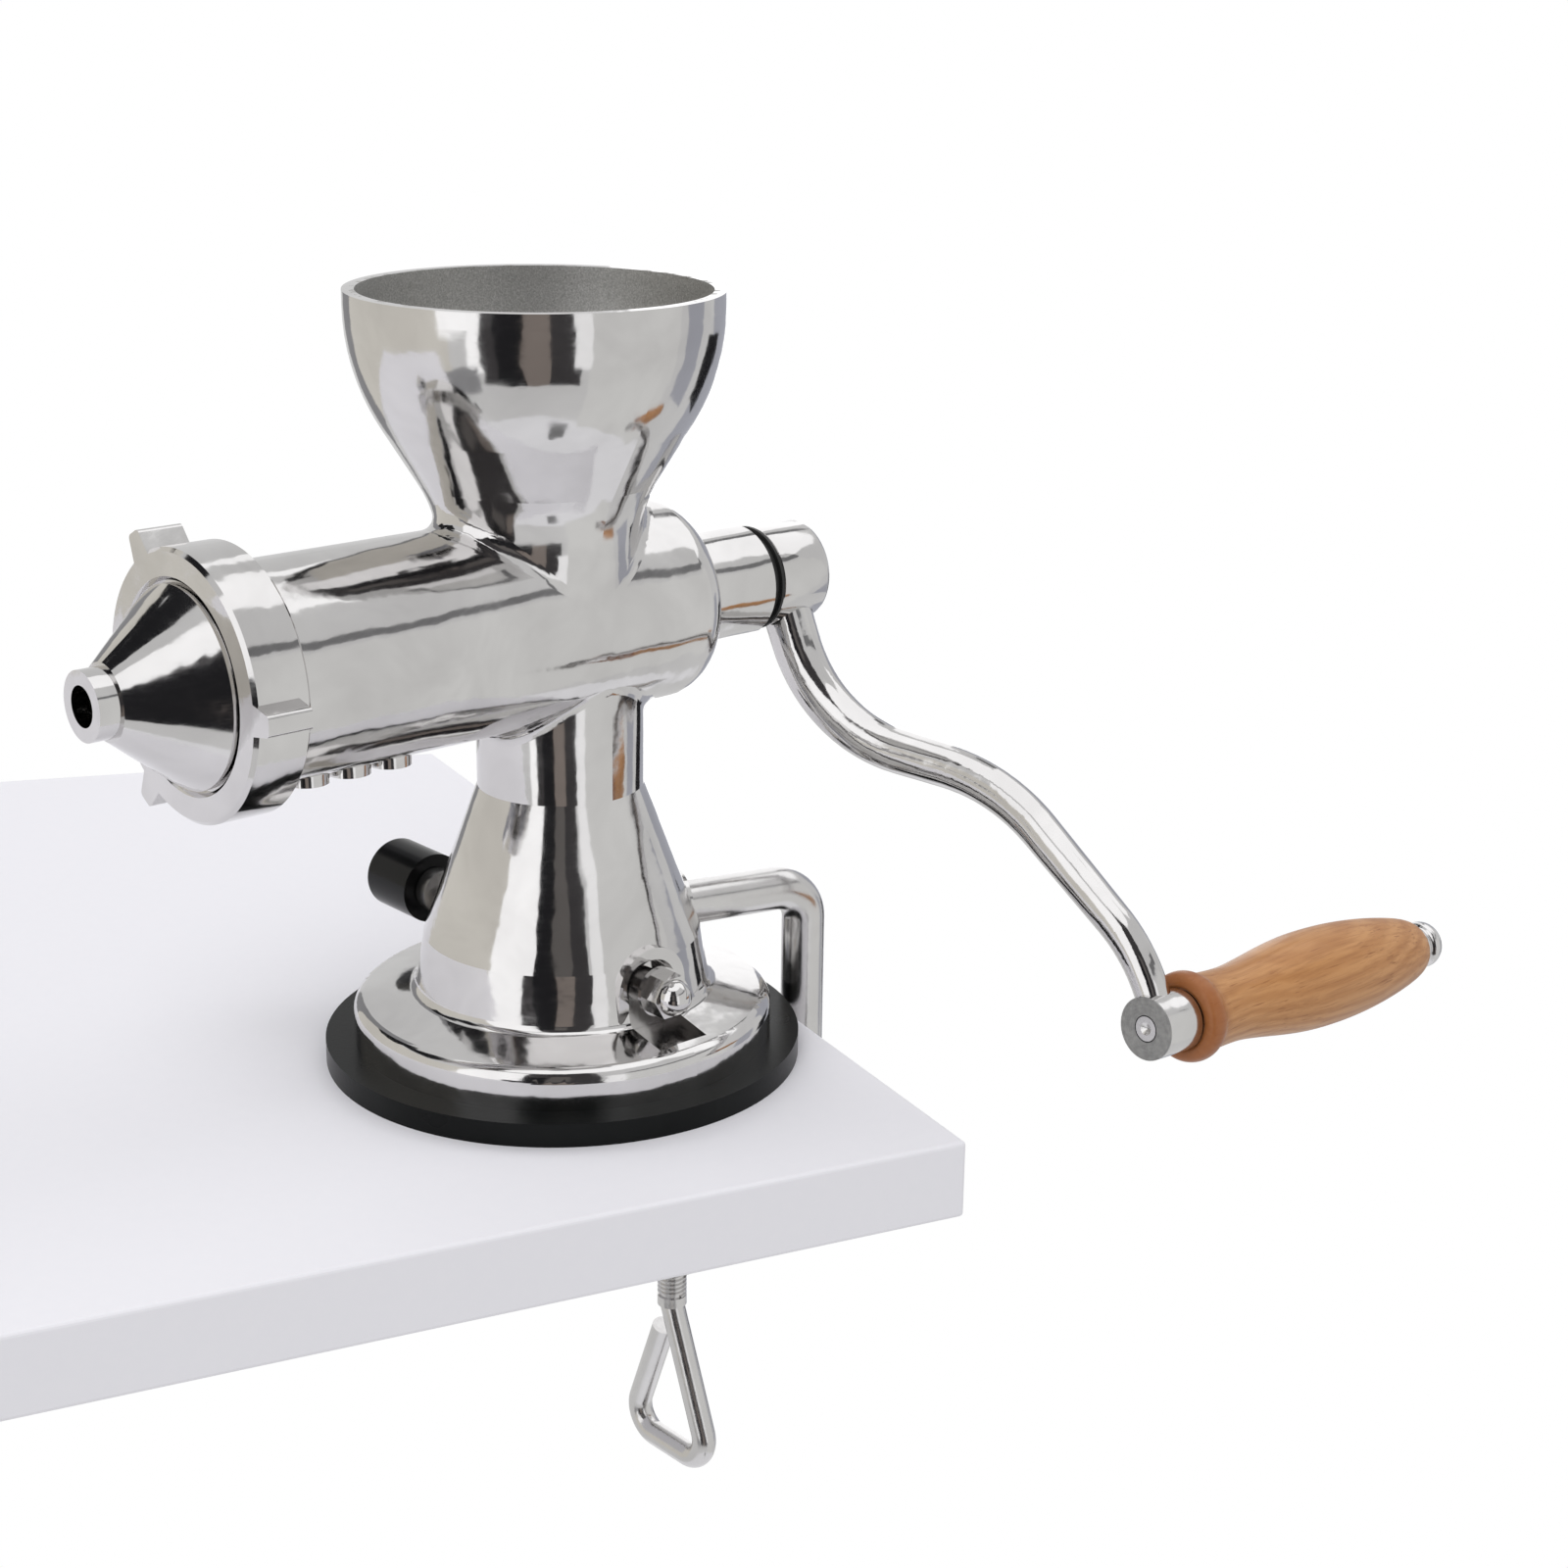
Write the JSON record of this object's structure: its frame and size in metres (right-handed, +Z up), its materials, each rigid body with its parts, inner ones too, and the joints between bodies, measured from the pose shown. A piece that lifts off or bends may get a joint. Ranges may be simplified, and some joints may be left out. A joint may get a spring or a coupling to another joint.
{
  "type": "manual wheatgrass juicer",
  "caption": "Hand cranked steel juicer on a rubber suction cup with a table clamp. A screw auger under a bowl hopper presses leaves and grass to juice.",
  "frame": {"origin": "centre of the suction cup's underside, on the table's top", "axes": "+Z up, barrel along Y with the pulp outlet towards -Y and the crank towards +Y, suction lever's shaft along X with its knob on the -X side"},
  "size_m": [0.201, 0.3253, 0.3246],
  "materials": {
    "polished_steel": "mirror polished",
    "turned_steel": "satin",
    "cup_rubber": "smooth matt",
    "black_plastic": "moulded",
    "white_nylon": "moulded",
    "seal_rubber": "smooth",
    "turned_wood": "lacquered"
  },
  "bodies": {
    "base": {"juicer_body": "polished_steel", "rear_bush": "white_nylon", "thrust_washer": "black_plastic", "inner_washer": "white_nylon", "juice_screen": "turned_steel", "front_gasket": "seal_rubber", "suction_cup": "cup_rubber"},
    "crank": {"auger": "turned_steel", "crank_arm": "polished_steel", "grip_spindle": "turned_steel", "grip_cap": "turned_steel"},
    "grip": {"wooden_grip": "turned_wood"},
    "suction_lever": {"cam_shaft": "turned_steel", "lever_arm": "turned_steel", "lever_knob": "black_plastic", "shaft_spacer": "turned_steel", "cam_washer": "turned_steel", "acorn_nut": "polished_steel"},
    "cup_pull": {"cup_plate": "turned_steel", "cup_stud": "turned_steel"},
    "clamp": {"clamp_frame": "polished_steel"},
    "pad": {"clamp_pad": "polished_steel"},
    "screw": {"clamp_screw": "polished_steel"},
    "outlet": {"outlet_cone": "polished_steel"},
    "ring": {"ring_nut": "polished_steel"}
  },
  "joints": [
    {"name": "crank_turn", "type": "hinge", "parent": "base", "child": "crank", "pos_m": [0, 0, 0.1152], "axis": [0, 1, 0], "continuous": true},
    {"name": "grip_spin", "type": "hinge", "parent": "crank", "child": "grip", "pos_m": [0.1272, 0.0857, 0.024], "axis": [0, 0.9984, -0.0558], "continuous": true},
    {"name": "lever_turn", "type": "hinge", "parent": "base", "child": "suction_lever", "pos_m": [0, 0, 0.0275], "axis": [-1, 0, 0], "range_deg": [0, 116]},
    {"name": "cup_lift", "type": "slide", "parent": "base", "child": "cup_pull", "axis": [0, 0, -1], "range_m": [0, 0.00213], "deforming": ["suction_cup"]},
    {"name": "clamp_slide", "type": "slide", "parent": "base", "child": "clamp", "axis": [0.2588, 0.9659, 0], "range_m": [0, 0.004]},
    {"name": "pad_lift", "type": "slide", "parent": "clamp", "child": "pad", "axis": [0, 0, 1], "range_m": [-0.035, 0.004]},
    {"name": "screw_turn", "type": "hinge", "parent": "pad", "child": "screw", "pos_m": [0.00802, 0.02994, -0.05], "axis": [0, 0, 1], "range_deg": [-10080.5, 1152.5]},
    {"name": "outlet_slide", "type": "slide", "parent": "base", "child": "outlet", "axis": [0, -1, 0], "range_m": [0, 0.01]},
    {"name": "ring_turn", "type": "hinge", "parent": "outlet", "child": "ring", "pos_m": [0, -0.098, 0.1152], "axis": [0, -1, 0], "range_deg": [0, 1440.5]}
  ],
  "couplings": [
    {"joint": "cup_lift", "follows": "lever_turn", "m_per_rad": 0.00105},
    {"joint": "screw_turn", "follows": "pad_lift", "rad_per_m": 5026.5},
    {"joint": "ring_turn", "follows": "outlet_slide", "rad_per_m": 2513.3}
  ]
}
